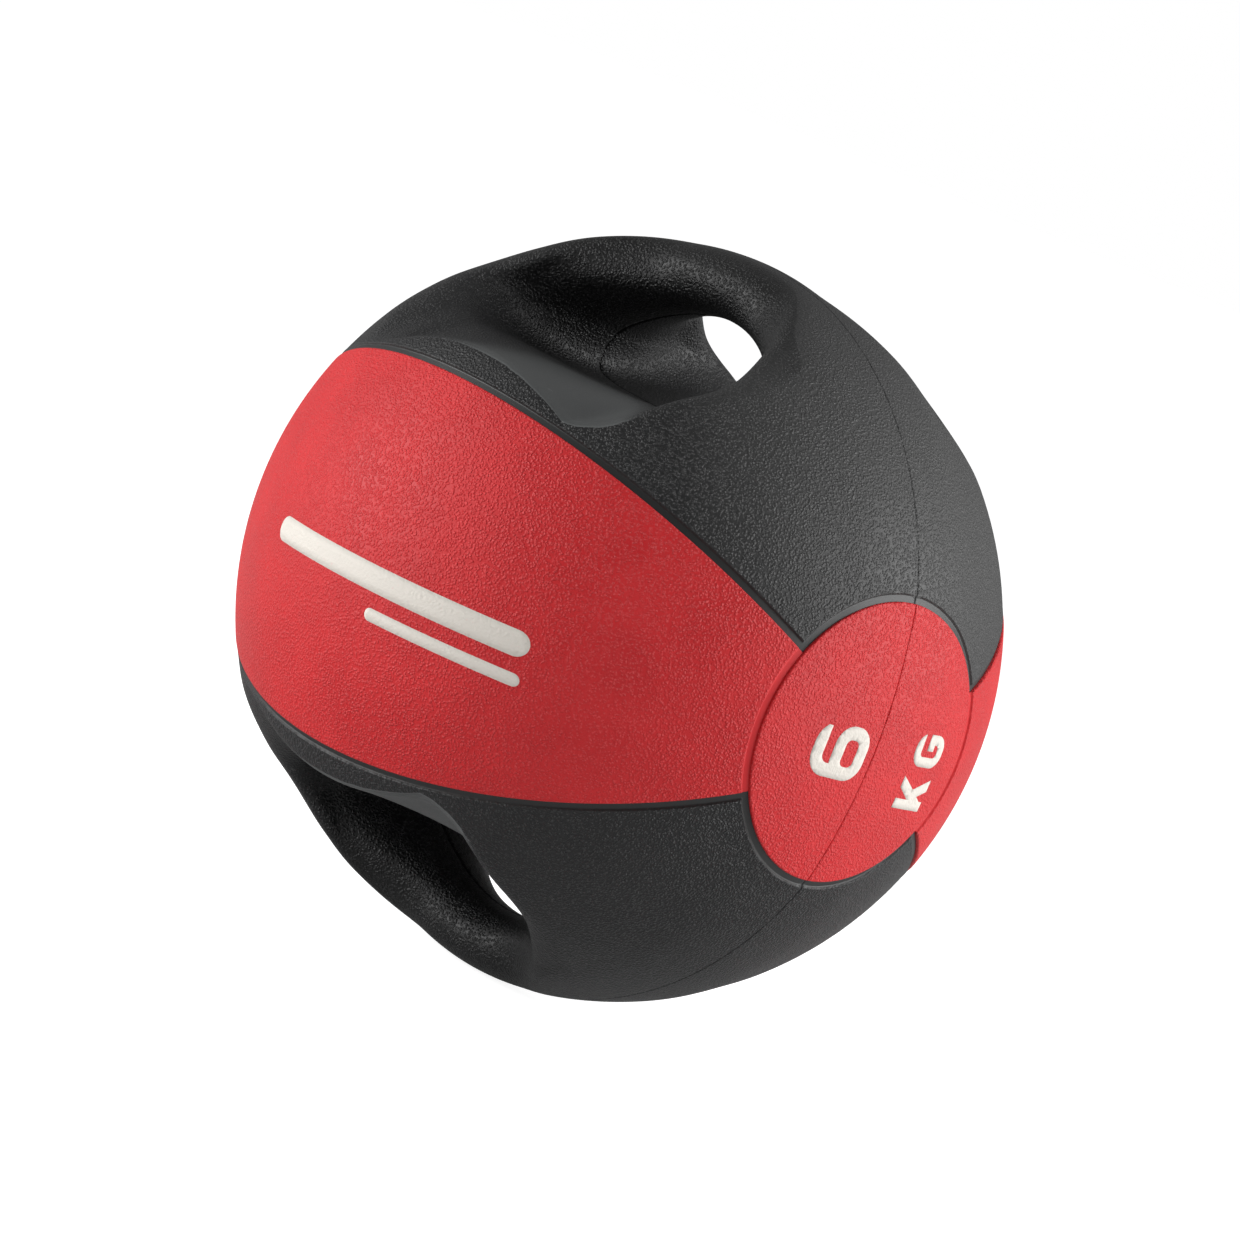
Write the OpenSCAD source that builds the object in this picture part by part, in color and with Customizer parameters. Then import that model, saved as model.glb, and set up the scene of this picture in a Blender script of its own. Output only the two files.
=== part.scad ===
// Double-grip medicine ball, 6 kg: a hollow weighted rubber carcass over an air bladder, with a
// tunnel through the top and the bottom so that a bar-shaped grip spans each one.
// Origin: centre of the ball. +Z: up through the top grip. -Y: front panel. +X: marked end disc.
// The grips run along X, and the tunnels under them run along Y. Units: millimetres.

/* [Ball] */
// Outside diameter of the ball
ball_d = 275; // [250:1:300]
// Thickness of the outer skins: panels, discs and grip covers
skin_t = 4; // [3:0.5:5]
// Thickness of the weighted carcass behind the skins, at the equator
carcass_t = 15.5; // [12:0.5:18]
// Thickness of the weighted carcass under a tunnel's floor
floor_t = 12; // [9:0.5:14]
// Thickness of the air bladder
bladder_t = 2; // [1.5:0.5:3]

/* [Panels] */
// Angle that each red panel spans around the X axis
panel_angle = 60; // [50:1:66]
// Angle between the X axis and the rim of an end disc
disc_angle = 22; // [18:0.5:24]
// Width of the smooth channel along the borders
channel_w = 3.4; // [2:0.2:4]
// Depth of the smooth channel along the borders
channel_h = 0.9; // [0.5:0.1:1.5]

/* [Grips] */
// Clear width of each tunnel at its floor
tunnel_w = 153; // [140:1:156]
// Angle by which a tunnel's side walls lean inward over its floor
tunnel_lean = 24; // [20:1:26]
// Height of each tunnel's floor from the centre of the ball
tunnel_floor = 74; // [72:0.5:78]
// Radius of the corners between a tunnel's floor and its side walls
tunnel_corner_r = 18; // [12:1:22]
// Width of a grip bar, along Y
bar_w = 40; // [34:1:44]
// Thickness of a grip bar
bar_t = 23; // [20:0.5:25]
// Thickness of the soft cover around a bar's core
bar_cover_t = 5; // [4.5:0.5:6]

/* [Inflation valve] */
// Radius of the valve housing where it passes through the wall
valve_r = 7; // [6:0.5:9]
// Radius of the self-sealing plug
plug_r = 4; // [3:0.5:4.5]
// Radius of the needle hole in the rear panel and of the needle channel in the plug
needle_r = 1; // [0.8:0.1:1.3]
// Depth of the needle channel in the plug
needle_depth = 12; // [8:1:14]

/* [Markings] */
// Depth of the off-white marking inlays
mark_t = 0.4; // [0.2:0.1:0.6]
// Height of the weight digit
digit_h = 25; // [20:1:26]
// Height of the unit letters
unit_h = 17; // [14:1:18]
// Length of the decorative stripe on the front panel
stripe_l = 118; // [90:1:130]
// Width of the decorative stripe on the front panel
stripe_w = 9; // [6:0.5:12]

/* [Hidden] */
$fn = 96;

ball_r = ball_d / 2;
carcass_r = ball_r - skin_t;
cavity_r = carcass_r - carcass_t;
cavity_z = tunnel_floor - skin_t - floor_t;
disc_r = ball_r * sin(disc_angle);
far = ball_d;
eps = 0.01;

bar_mid_r = ball_r - bar_t / 2;
core_w = bar_w - 2 * bar_cover_t;
core_t = bar_t - 2 * bar_cover_t;
core_anchor = 15;
core_half_l = tunnel_w / 2 - (bar_mid_r - tunnel_floor) * tan(tunnel_lean) + skin_t + core_anchor;

flange_r = 16;
flange_t = 3;
seat_t = 4;
plug_in = cavity_r - bladder_t - flange_t;
plug_out = carcass_r - 1;

red = "#c83c3c";
black = "#2b2b2d";
off_white = "#ebe6de";
amber = "#a8804c";

digit_pos = [-4 - digit_h / 2, -3.5];
unit_pos = [30, -4.5];
stripe_pos = [16, -5];
short_stripe_drop = 12;

// ---- directions and halves ---------------------------------------------------------------

module along_x(length) rotate([90, 0, 90]) linear_extrude(length, center = true) children();
module along_y(length) rotate([90, 0, 0]) linear_extrude(length, center = true) children();
module front_half() intersection() { children(); translate([-far, -2 * far, -far]) cube(2 * far); }
module rear_half() intersection() { children(); translate([-far, 0, -far]) cube(2 * far); }
module upside_down() rotate([180, 0, 0]) children();

// ---- borders -----------------------------------------------------------------------------

// Wedge of the front panel, with both border planes moved outward by grow
module front_wedge(grow = 0) {
    half = panel_angle / 2;
    apex = grow / sin(half);
    reach = (far + apex) * tan(half);
    along_x(2 * far) polygon([[apex, 0], [-far, reach], [-far, -reach]]);
}

module rear_wedge(grow = 0) rotate([0, 0, 180]) front_wedge(grow);

// Round bar along X that bounds both end discs
module disc_bar(grow = 0) rotate([0, 90, 0]) cylinder(h = 2 * far, r = disc_r + grow, center = true);

module outer_skin(depth) {
    difference() {
        sphere(ball_r);
        sphere(ball_r - depth);
    }
}

// ---- tunnels and bars --------------------------------------------------------------------

// Cross-section of a tunnel: flat floor, walls that lean inward and round corners, open at the top
module tunnel_outline(grow) {
    across = cos(tunnel_lean);
    up = sin(tunnel_lean);
    corner = tunnel_corner_r + grow;
    corner_x = tunnel_w / 2 - tunnel_corner_r * (1 + up) / across;
    corner_z = tunnel_floor + tunnel_corner_r;
    wall_x = corner_x + corner * across;
    wall_z = corner_z + corner * up;
    top_z = ball_r + tunnel_corner_r;
    top_x = wall_x - (top_z - wall_z) * up / across;
    polygon([
        [-corner_x, corner_z - corner], [corner_x, corner_z - corner],
        [corner_x, corner_z], [wall_x, wall_z], [top_x, top_z],
        [-top_x, top_z], [-wall_x, wall_z], [-corner_x, corner_z]
    ]);
    for (side = [-1, 1]) translate([side * corner_x, corner_z]) circle(corner);
}

module tunnel(grow = 0) along_y(2 * far) tunnel_outline(grow);

module both_tunnels(grow = 0) {
    tunnel(grow);
    upside_down() tunnel(grow);
}

// Arched bar around the Y axis with a flat-sided round section
module arch(width, thickness, half_l) {
    intersection() {
        rotate([90, 0, 0]) rotate_extrude()
            translate([bar_mid_r, 0]) {
                square([thickness, width - thickness], center = true);
                for (side = [-1, 1])
                    translate([0, side * (width - thickness) / 2]) circle(d = thickness);
            }
        translate([-half_l, -far, 0]) cube([2 * half_l, 2 * far, far]);
    }
}

module bar_core() intersection() { arch(core_w, core_t, core_half_l); sphere(carcass_r); }

module bar_cover() {
    intersection() {
        arch(bar_w, bar_t, tunnel_w / 2);
        sphere(ball_r);
        tunnel(eps);
    }
}

// ---- inside ------------------------------------------------------------------------------

// Air space, flattened where the tunnels pass over and under it
module air_space(shrink) {
    intersection() {
        sphere(cavity_r - shrink);
        cube([2 * far, 2 * far, 2 * (cavity_z - shrink)], center = true);
    }
}

module about_y() rotate([-90, 0, 0]) children();

// Round passage along +Y for the inflation valve
module valve_way(radius, start, end) {
    translate([0, start, 0]) about_y() cylinder(h = end - start, r = radius);
}

module bladder() {
    color(amber) difference() {
        air_space(0);
        air_space(bladder_t);
        valve_way(valve_r, 0, far);
    }
}

// Flanged sleeve bonded to the bladder; its mouth lies against the rear panel's needle hole
module valve_housing() {
    color(black) about_y() rotate_extrude() difference() {
        union() {
            intersection() {
                translate([0, plug_in]) square([valve_r, far]);
                circle(carcass_r);
            }
            intersection() {
                translate([0, plug_in]) square([flange_r, far]);
                circle(cavity_r - bladder_t);
            }
        }
        translate([0, plug_in + seat_t]) square([plug_r, far]);
    }
}

// Solid rubber plug that closes around the inflation needle
module valve_plug() {
    color(amber) difference() {
        valve_way(plug_r, plug_in + seat_t, plug_out);
        valve_way(needle_r, plug_out - needle_depth, far);
    }
}

module carcass() {
    difference() {
        sphere(carcass_r);
        air_space(0);
        both_tunnels(skin_t);
        bar_core();
        upside_down() bar_core();
        valve_way(valve_r, 0, far);
    }
}

module carcass_front() { color(black) front_half() carcass(); }
module carcass_rear() { color(black) rear_half() carcass(); }

module top_bar_core() { color(black) bar_core(); }
module bottom_bar_core() { color(black) upside_down() bar_core(); }

// ---- black grip covers -------------------------------------------------------------------

// Everything further from the centre than a depth below the surface
module above(depth) {
    difference() {
        sphere(far);
        sphere(ball_r - depth);
    }
}

// Shallow smooth step beside the red borders
module border_channel() {
    intersection() {
        above(channel_h);
        union() {
            front_wedge(channel_w);
            rear_wedge(channel_w);
            disc_bar(channel_w);
        }
    }
}

module grip_cover() {
    difference() {
        union() {
            difference() {
                intersection() {
                    union() {
                        outer_skin(skin_t);
                        intersection() {
                            tunnel(skin_t);
                            sphere(ball_r);
                        }
                    }
                    translate([-far, -far, 0]) cube(2 * far);
                }
                tunnel();
                front_wedge();
                rear_wedge();
                disc_bar();
                border_channel();
            }
            bar_cover();
        }
        bar_core();
    }
}

module top_grip_front() { color(black) front_half() grip_cover(); }
module top_grip_rear() { color(black) rear_half() grip_cover(); }
module bottom_grip_front() { color(black) upside_down() rear_half() grip_cover(); }
module bottom_grip_rear() { color(black) upside_down() front_half() grip_cover(); }

// ---- red panels and discs ----------------------------------------------------------------

// Cross-section of a panel: a curved strip that steps down beside each end disc
module panel_section() {
    difference() {
        circle(ball_r);
        circle(ball_r - skin_t);
        translate([-far, -far]) square([far + disc_r, 2 * far]);
        difference() {
            translate([disc_r, -far]) square([channel_w, 2 * far]);
            circle(ball_r - channel_h);
        }
    }
}

// Panel swept around the X axis, centred on the front
module plain_panel() {
    rotate([0, 90, 0]) rotate([0, 0, -90 - panel_angle / 2])
        rotate_extrude(angle = panel_angle) panel_section();
}

module front_panel() {
    color(red) difference() {
        plain_panel();
        front_column(mark_t) stripe_outline();
        front_column(mark_t) short_stripe_outline();
    }
}

module rear_panel() {
    color(red) difference() {
        rotate([0, 0, 180]) plain_panel();
        valve_way(needle_r, 0, far);
    }
}

// Cross-section of an end disc: a curved cap cut off at the disc's rim
module disc_section() {
    intersection() {
        difference() {
            circle(ball_r);
            circle(ball_r - skin_t);
        }
        square([disc_r, far]);
    }
}

// Half of an end disc on the +X axis, from the parting plane round the front or the rear
module half_disc(start) {
    rotate([0, 90, 0]) rotate([0, 0, start]) rotate_extrude(angle = 180) disc_section();
}

module right_disc_front() {
    color(red) difference() {
        half_disc(180);
        disc_column(mark_t) digit_outline();
    }
}

module right_disc_rear() {
    color(red) difference() {
        half_disc(0);
        disc_column(mark_t) unit_outline();
    }
}

module left_disc_front() { color(red) mirror([1, 0, 0]) half_disc(180); }
module left_disc_rear() { color(red) mirror([1, 0, 0]) half_disc(0); }

// ---- markings ----------------------------------------------------------------------------

// Column over the right disc; the outline's x is the ball's Y and its y is the ball's Z
module disc_column(depth) {
    intersection() {
        above(depth);
        translate([far / 2, 0, 0]) along_x(far) children();
    }
}

// Column over the front panel; the outline's x is the ball's X and its y is the ball's Z
module front_column(depth) {
    intersection() {
        above(depth);
        translate([0, -far / 2, 0]) along_y(far) children();
    }
}

// Inlays that fill the bottom of those columns, flush with the ball
module disc_inlay() {
    intersection() {
        outer_skin(mark_t);
        translate([far / 2, 0, 0]) along_x(far) children();
    }
}

module front_inlay() {
    intersection() {
        outer_skin(mark_t);
        translate([0, -far / 2, 0]) along_y(far) children();
    }
}

// Rectangle with rounded corners, centred
module rounded_box(w, h, r) {
    square([w - 2 * r, h], center = true);
    square([w, h - 2 * r], center = true);
    for (x = [-1, 1], y = [-1, 1])
        translate([x * (w / 2 - r), y * (h / 2 - r)]) circle(r);
}

module rounded_ring(w, h, r, pen) {
    difference() {
        rounded_box(w, h, r);
        rounded_box(w - 2 * pen, h - 2 * pen, r - pen);
    }
}

// Digit six, read along +Z with its top towards -Y: a closed bowl and a hook that rises over it
module digit_outline() {
    digit_w = digit_h * 0.8;
    bowl_h = digit_h * 0.64;
    pen = digit_h * 0.2;
    translate(digit_pos) rotate(90) {
        translate([0, (bowl_h - digit_h) / 2]) rounded_ring(digit_w, bowl_h, digit_h * 0.29, pen);
        intersection() {
            rounded_ring(digit_w, digit_h, digit_h * 0.33, pen);
            union() {
                translate([-digit_w, bowl_h / 2 - digit_h / 2]) square([digit_w, digit_h]);
                translate([-1, digit_h / 2 - pen]) square([digit_w * 0.42 + 1, digit_h]);
            }
        }
    }
}

// Letters of the unit, drawn with one pen width, read along +Z with their tops towards -Y
module unit_outline() {
    pen = unit_h * 0.22;
    letter_w = unit_h * 0.72;
    gap = unit_h * 0.24;
    arm = [[0.2, 0.56], [0.465, 1], [0.72, 1], [0.2, 0.08]];
    leg = [[0.455, 0], [0.72, 0], [0.459, 0.53], [0.32, 0.53], [0.29, 0.34]];
    translate(unit_pos) rotate(90) {
        translate([-letter_w - gap / 2, -unit_h / 2]) {
            square([pen, unit_h]);
            polygon(arm * unit_h);
            polygon(leg * unit_h);
        }
        translate([(letter_w + gap) / 2, 0]) {
            difference() {
                rounded_ring(letter_w, unit_h, unit_h * 0.32, pen);
                square([letter_w, unit_h / 2 - pen]);
            }
            translate([0, -pen * 0.6]) square([letter_w / 2, pen]);
        }
    }
}

module round_bar(length, width) {
    square([length - width, width], center = true);
    for (side = [-1, 1])
        translate([side * (length - width) / 2, 0]) circle(d = width);
}

module stripe_outline() translate(stripe_pos) round_bar(stripe_l, stripe_w);

module short_stripe_outline() {
    translate([stripe_pos[0] + stripe_l / 4, stripe_pos[1] - short_stripe_drop])
        round_bar(stripe_l / 2, stripe_w / 2);
}

module weight_digit() { color(off_white) disc_inlay() digit_outline(); }
module weight_unit() { color(off_white) disc_inlay() unit_outline(); }
module front_stripe() { color(off_white) front_inlay() stripe_outline(); }
module front_short_stripe() { color(off_white) front_inlay() short_stripe_outline(); }

bladder();
valve_housing();
valve_plug();
carcass_front();
carcass_rear();
top_bar_core();
bottom_bar_core();
top_grip_front();
top_grip_rear();
bottom_grip_front();
bottom_grip_rear();
front_panel();
rear_panel();
right_disc_front();
right_disc_rear();
left_disc_front();
left_disc_rear();
weight_digit();
weight_unit();
front_stripe();
front_short_stripe();
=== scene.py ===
import math

import bmesh
import bpy
import numpy as np
from mathutils import Matrix, Vector


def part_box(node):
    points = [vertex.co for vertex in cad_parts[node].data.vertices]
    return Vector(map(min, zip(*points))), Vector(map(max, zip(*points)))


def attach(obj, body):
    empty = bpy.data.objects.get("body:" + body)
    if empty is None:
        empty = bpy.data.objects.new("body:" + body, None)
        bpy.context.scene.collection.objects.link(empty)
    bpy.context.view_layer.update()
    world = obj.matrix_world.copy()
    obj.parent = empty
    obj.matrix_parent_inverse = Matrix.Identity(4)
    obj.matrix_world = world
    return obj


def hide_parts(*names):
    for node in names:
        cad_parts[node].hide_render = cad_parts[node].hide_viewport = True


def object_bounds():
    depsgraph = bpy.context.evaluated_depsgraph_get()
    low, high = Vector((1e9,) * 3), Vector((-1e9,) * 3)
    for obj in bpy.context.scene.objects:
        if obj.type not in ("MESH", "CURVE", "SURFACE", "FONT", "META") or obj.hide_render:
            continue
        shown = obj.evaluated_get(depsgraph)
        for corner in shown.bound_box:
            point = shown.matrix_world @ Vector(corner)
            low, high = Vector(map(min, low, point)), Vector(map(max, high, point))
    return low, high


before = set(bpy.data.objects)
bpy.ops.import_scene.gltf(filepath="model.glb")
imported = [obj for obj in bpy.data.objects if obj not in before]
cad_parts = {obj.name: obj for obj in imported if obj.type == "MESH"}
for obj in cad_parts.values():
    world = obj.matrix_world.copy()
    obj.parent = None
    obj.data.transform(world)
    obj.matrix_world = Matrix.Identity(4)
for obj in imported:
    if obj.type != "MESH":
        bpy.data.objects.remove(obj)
CAD_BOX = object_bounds()

# ---- sizes, in metres unless a name says otherwise ------------------------------------------------

MM = 0.001
LOW, HIGH = (Vector(corner) for corner in CAD_BOX)
BALL_R = (HIGH.x - LOW.x) / 2
PANEL_HALF = math.asin(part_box("front_panel")[1].z / BALL_R) - math.radians(0.5)
DISC_HALF = math.asin(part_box("right_disc_front")[1].z / BALL_R)
SKIN_T = 4.0 * MM

CHANNEL_W = 2.3 * MM
CHANNEL_H = 0.9 * MM
STEP_W = 0.7 * MM
SEAM_W = 0.45 * MM
SEAM_H = 0.5 * MM
MARK_LIFT = 0.05 * MM
MARK_T = 0.25 * MM

FRONT_COVERS = (("top_grip_front", 1.0, 1.0), ("bottom_grip_front", 1.0, -1.0))
REAR_COVERS = (("top_grip_rear", -1.0, 1.0), ("bottom_grip_rear", -1.0, -1.0))
DISCS = (
    ("right_disc_front", 1.0, 1.0),
    ("right_disc_rear", 1.0, -1.0),
    ("left_disc_front", -1.0, 1.0),
    ("left_disc_rear", -1.0, -1.0),
)
MARKS = ("weight_digit", "weight_unit", "front_stripe", "front_short_stripe")

EDGE_AT = (0.0, 0.05, 0.25, 0.6, 1.2)
EDGE_DROP = (1.2, 0.6, 0.2, 0.03, 0.0)
PANEL_EDGE_ROWS = (0.0, 0.05, 0.15, 0.3, 0.6, 0.9, 1.3, 2.2, 3.6)
CHANNEL_ROWS = (0.0, 0.9, 1.8, 2.2, 2.4, 2.55, 2.7, 2.85, 3.0, 3.4, 4.2)
DISC_ROWS = (0.0, 0.05, 0.15, 0.3, 0.6, 0.9, 1.3, 2.2, 3.6)
SEAM_GAP = 0.12 * MM
SEAM_GAP_ZONE = 1.2 * MM
DISC_FLAT = 3.0 * MM
DISC_CENTRE = 0.42
DISC_RINGS = 18
SEAM_SHARE = 0.4
MERGE = 0.001 * MM
SHARP_ANGLE = math.radians(50)
CORE_GRID = 7.0 * MM
CORE_CLEARANCE = 0.3 * MM
CORE_TRIES = 8
CORE_SLOPE = 0.2
NEEDLE_R = 1.0 * MM
VALVE_RING = 6.0 * MM
VALVE_RING_H = 0.25 * MM
VALVE_RING_W = 0.5 * MM
VALVE_SLOPE = (0.55 * VALVE_RING, 0.85 * VALVE_RING)
VALVE_DEPTH = 0.8 * MM
DRILL_LEN = 30.0 * MM
DRILL_SIDES = 24
VALVE_ZONE = 8.0 * MM
VALVE_COLUMNS = 41

GRAIN_SIZE = 0.95 * MM
GRAIN_H = 0.42 * MM
GRAIN_SOFT = 0.35
PEBBLE_ZONE = (0.10, 0.62)
# Part of a pebble's height that gets a painted highlight
PEBBLE_HIGHLIGHT_ZONE = (0.45, 0.85)
RED_CLOUD = 22 * MM
BLACK_CLOUD = 30 * MM
INNER_CLOUD = 12 * MM
INNER_PORE = 1.5 * MM
SPECK_SIZE = 2.3 * MM
INK_WEAR_SIZE = 1.6 * MM
RED_COLOUR = (0.59, 0.018, 0.022)
RED_DARK = (0.53, 0.013, 0.017)
# Painted highlight colour on the red pebbles' tops
RED_PEBBLE_HIGHLIGHT = (0.70, 0.060, 0.064)
BLACK_COLOUR = (0.006, 0.006, 0.0065)
BLACK_LIGHT = (0.010, 0.010, 0.0105)
# Painted highlight colour on the black pebbles' tops
BLACK_PEBBLE_HIGHLIGHT = (0.046, 0.046, 0.046)
BLACK_SMOOTH = (0.036, 0.038, 0.038)
# Pale colour of the dust specks, also used for the painted light on the black rubber's side facing the upper
# right
DUST_AND_LIT_SIDE_COLOUR = (0.14, 0.14, 0.138)
# Direction of the side that gets the painted light
LIT_SIDE_WAY = (0.80, 0.10, 0.60)
INK_COLOUR = (0.70, 0.66, 0.60)
INK_WORN = (0.75, 0.45, 0.42)
CARCASS_COLOUR = (0.045, 0.045, 0.045)
CARCASS_LIGHT = (0.060, 0.058, 0.056)
BLADDER_COLOUR = (0.32, 0.20, 0.11)
BLADDER_LIGHT = (0.38, 0.24, 0.13)
FLOOR_COLOUR = (0.60, 0.60, 0.60)
FLOOR_LIGHT = (0.62, 0.62, 0.62)
FLOOR_GLOW = 0.08
FLOOR_SEEN_GLOW = 0.88

FLOOR_HALF = 12.0
WORLD_LIGHT = 0.29
WORLD_SEEN = 1.0
KEY_WAY = (-0.60, -0.80, 0.12)
KEY_FAR = 1.6
KEY_SIZE = 1.4
KEY_POWER = 37.0
FILL_WAY = (0.75, 0.60, 0.30)
FILL_FAR = 1.8
FILL_SIZE = 1.6
FILL_POWER = 43.0
TOP_WAY = (0.1, 0.3, 1.0)
TOP_FAR = 1.4
TOP_SIZE = 0.7
TOP_POWER = 1.0
CAMERA_WAY = (0.6807, -0.72347, 0.11505)
CAMERA_UP = (-0.33713, -0.16994, 0.92599)
CAMERA_FAR = 14.0
CAMERA_LENS = 155.85
CAMERA_SENSOR = 36.0
CAMERA_CLIP = 50.0
CAMERA_SHIFT = (0.0003, -0.00185)

# ---- shape of a grip: the tunnel, its flared mouths and the bar, in ball radii -------------------

TUNNEL_HALF_W = 0.480
WALL_LEAN = 0.165
WALL_LEAN_FROM = 0.66
WALL_LEAN_TO = 0.90
MIDDLE_WIDER = 0.045
FLOOR_MIDDLE = 0.540
FLOOR_RIDGE = 0.586
FLOOR_LIP = 0.573
CORNER_DIP = 0.68
CORNER_DIP_X = 0.33
CORNER_R = 0.15
BAR_HALF_T = 0.087
BAR_HALF_W = 0.138
BAR_POWER = 2.1
BAR_FILLET = 0.14
BAR_FILLET_DEEP = 0.24
LIP_R = 0.02
RIM_R = 0.16
RIM_FROM = 0.55
RIM_TO = 0.85
RIM_LOWER = 0.22
RIM_SIDE_FROM = 0.24
RIM_SIDE_TO = 0.46
TUNNEL_MID = 0.69
TOP_ROUND = 0.012
SLOPE_STEP = 1e-4
TINY = 1e-9

# Forward places, from the parting plane, over which parts of the tunnel change
WIDER_ZONE = (0.1, 0.5)
RIDGE_ZONE = (0.0, 0.52)
OUTWARD_ZONE = (0.50, 0.80)
FLOOR_LIP_ZONE = (0.55, 0.85)

# Depths under the ball's surface over which the bar's fillet grows
FILLET_ZONE = (0.03, 0.14)

WIDER_DEPTH = 0.13
WIDER_MOST = 1.5
FLOOR_CURVE = 0.06
FLOOR_SHARE = 0.9
BAR_INSIDE_MOST = -0.3

# 1 while the left side of a mouth is shaped with the softer rim, otherwise 0
SHAPE = {"soft_side": 0.0}


def smooth_step(low, high, x):
    t = np.clip((x - low) / (high - low), 0.0, 1.0)
    return t * t * (3.0 - 2.0 * t)


def soft_min(a, b, blend):
    overlap = np.maximum(blend - np.abs(a - b), 0.0) / blend
    return np.minimum(a, b) - overlap * overlap * blend / 4.0


def soft_max(a, b, blend):
    return -soft_min(-a, -b, blend)


def tunnel_field(x, y, z):
    """Below zero inside the tunnel's space."""
    lean = np.clip((z - WALL_LEAN_FROM) / (WALL_LEAN_TO - WALL_LEAN_FROM), 0.0, 1.0)
    low = np.clip((WALL_LEAN_FROM - z) / WIDER_DEPTH, 0.0, WIDER_MOST)
    half_w = TUNNEL_HALF_W - WALL_LEAN * lean * lean * (3.0 - 2.0 * lean)
    half_w = half_w + MIDDLE_WIDER * (1.0 - smooth_step(*WIDER_ZONE, y)) * low
    slope = 6.0 * lean * (1.0 - lean) * WALL_LEAN / (WALL_LEAN_TO - WALL_LEAN_FROM)
    outward = smooth_step(*OUTWARD_ZONE, y)
    floor = FLOOR_MIDDLE + (FLOOR_RIDGE - FLOOR_MIDDLE) * smooth_step(*RIDGE_ZONE, y)
    floor = floor + (FLOOR_LIP - FLOOR_RIDGE) * smooth_step(*FLOOR_LIP_ZONE, y)
    floor = floor + FLOOR_CURVE * x * x * (1.0 - outward)
    floor = floor - CORNER_DIP * np.minimum(x, CORNER_DIP_X) ** 2 * outward
    to_wall = (x - half_w) / np.sqrt(1.0 + slope * slope)
    return soft_max(to_wall, (floor - z) * FLOOR_SHARE, CORNER_R)


def bar_field(x, y, z):
    """About the distance from the bar's surface, below zero inside it."""
    u = np.abs(np.sqrt(x * x + z * z) - (1.0 - BAR_HALF_T)) / BAR_HALF_T
    v = y / BAR_HALF_W
    size = (u ** BAR_POWER + v ** BAR_POWER) ** (1.0 / BAR_POWER) + TINY
    by_u = u ** (BAR_POWER - 1.0) * size ** (1.0 - BAR_POWER) / BAR_HALF_T
    by_v = v ** (BAR_POWER - 1.0) * size ** (1.0 - BAR_POWER) / BAR_HALF_W
    return np.maximum((size - 1.0) / np.sqrt(by_u ** 2 + by_v ** 2 + 1e-6), BAR_INSIDE_MOST)


def skin_field(points):
    """About the distance from the black skin's outer surface, below zero in the rubber."""
    x, y, z = np.abs(points[..., 0]), np.abs(points[..., 1]), np.abs(points[..., 2])
    above = np.sqrt(x * x + y * y + z * z) - 1.0
    to_left = smooth_step(RIM_SIDE_FROM, RIM_SIDE_TO, -points[..., 0])
    side = RIM_LOWER * SHAPE["soft_side"] * to_left
    edge = LIP_R + (RIM_R - LIP_R) * smooth_step(RIM_FROM - side, RIM_TO - side, z)
    wall = soft_max(above, -tunnel_field(x, y, z), edge)
    fillet = BAR_FILLET + (BAR_FILLET_DEEP - BAR_FILLET) * smooth_step(*FILLET_ZONE, -above)
    return soft_max(above, soft_min(wall, bar_field(x, y, z), fillet), TOP_ROUND)


def field_slope(points):
    """Gradient of the skin's field."""
    slope = np.empty_like(points)
    for axis in range(3):
        offset = np.zeros(3)
        offset[axis] = SLOPE_STEP
        slope[..., axis] = (skin_field(points + offset) - skin_field(points - offset)) / (2.0 * SLOPE_STEP)
    return slope


# ---- borders -------------------------------------------------------------------------------------

CORNER_ZONE = 9.0 * MM
COARSE = 2.8 * MM
FINE = 0.6 * MM
BORDER_AT = (0, 0.12, 0.25, 0.45, 0.9, 1.6, 2.1, 2.35, 2.5, 2.65, 2.8, 2.95, 3.15, 3.5, 4.0)
BORDER_ROWS = [d * MM for d in BORDER_AT]
QUARTER = math.pi / 2


def spaced(length, fine_start=True, fine_end=True):
    """Places from 0 to length, closer together at the fine ends."""
    at = [0.0]
    while at[-1] < length:
        near = COARSE
        if fine_start:
            near = min(near, FINE + (COARSE - FINE) * at[-1] / CORNER_ZONE)
        if fine_end:
            near = min(near, FINE + (COARSE - FINE) * max(length - at[-1], 0.0) / CORNER_ZONE)
        at.append(at[-1] + near)
    return np.array(at) * (length / at[-1])


def on_sphere(lon, theta):
    """Unit vector at an angle theta from +X and lon about X, from the front (-Y) up towards +Z."""
    lon, theta = np.broadcast_arrays(lon, theta)
    return np.stack([np.cos(theta), -np.sin(theta) * np.cos(lon), np.sin(theta) * np.sin(lon)], -1)


def cover_border():
    """Outer border of the top front cover as (kind, lon, theta), from the middle of the panel side to the
    right, over the right disc, the seam and the left disc, and back, with its distance along the border."""
    half = (QUARTER - DISC_HALF) * BALL_R
    side = (QUARTER - PANEL_HALF) * math.sin(DISC_HALF) * BALL_R
    border = []
    for s in spaced(half, False, True)[:-1]:
        border.append(("panel", PANEL_HALF, QUARTER - s / BALL_R, s))
    for s in spaced(side)[:-1]:
        border.append(("disc", PANEL_HALF + s / (BALL_R * math.sin(DISC_HALF)), DISC_HALF, half + s))
    for s in spaced(half, True, False):
        border.append(("seam", QUARTER, DISC_HALF + s / BALL_R, half + side + s))
    left = [(kind, lon, math.pi - theta, s) for kind, lon, theta, s in border[1:-1]]
    return border, left[::-1]


def turned(near, d):
    """How far a point moves from a crossing border so that rows turn the corner on its diagonal."""
    return d * max(1.0 - near / CORNER_ZONE, 0.0)


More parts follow.
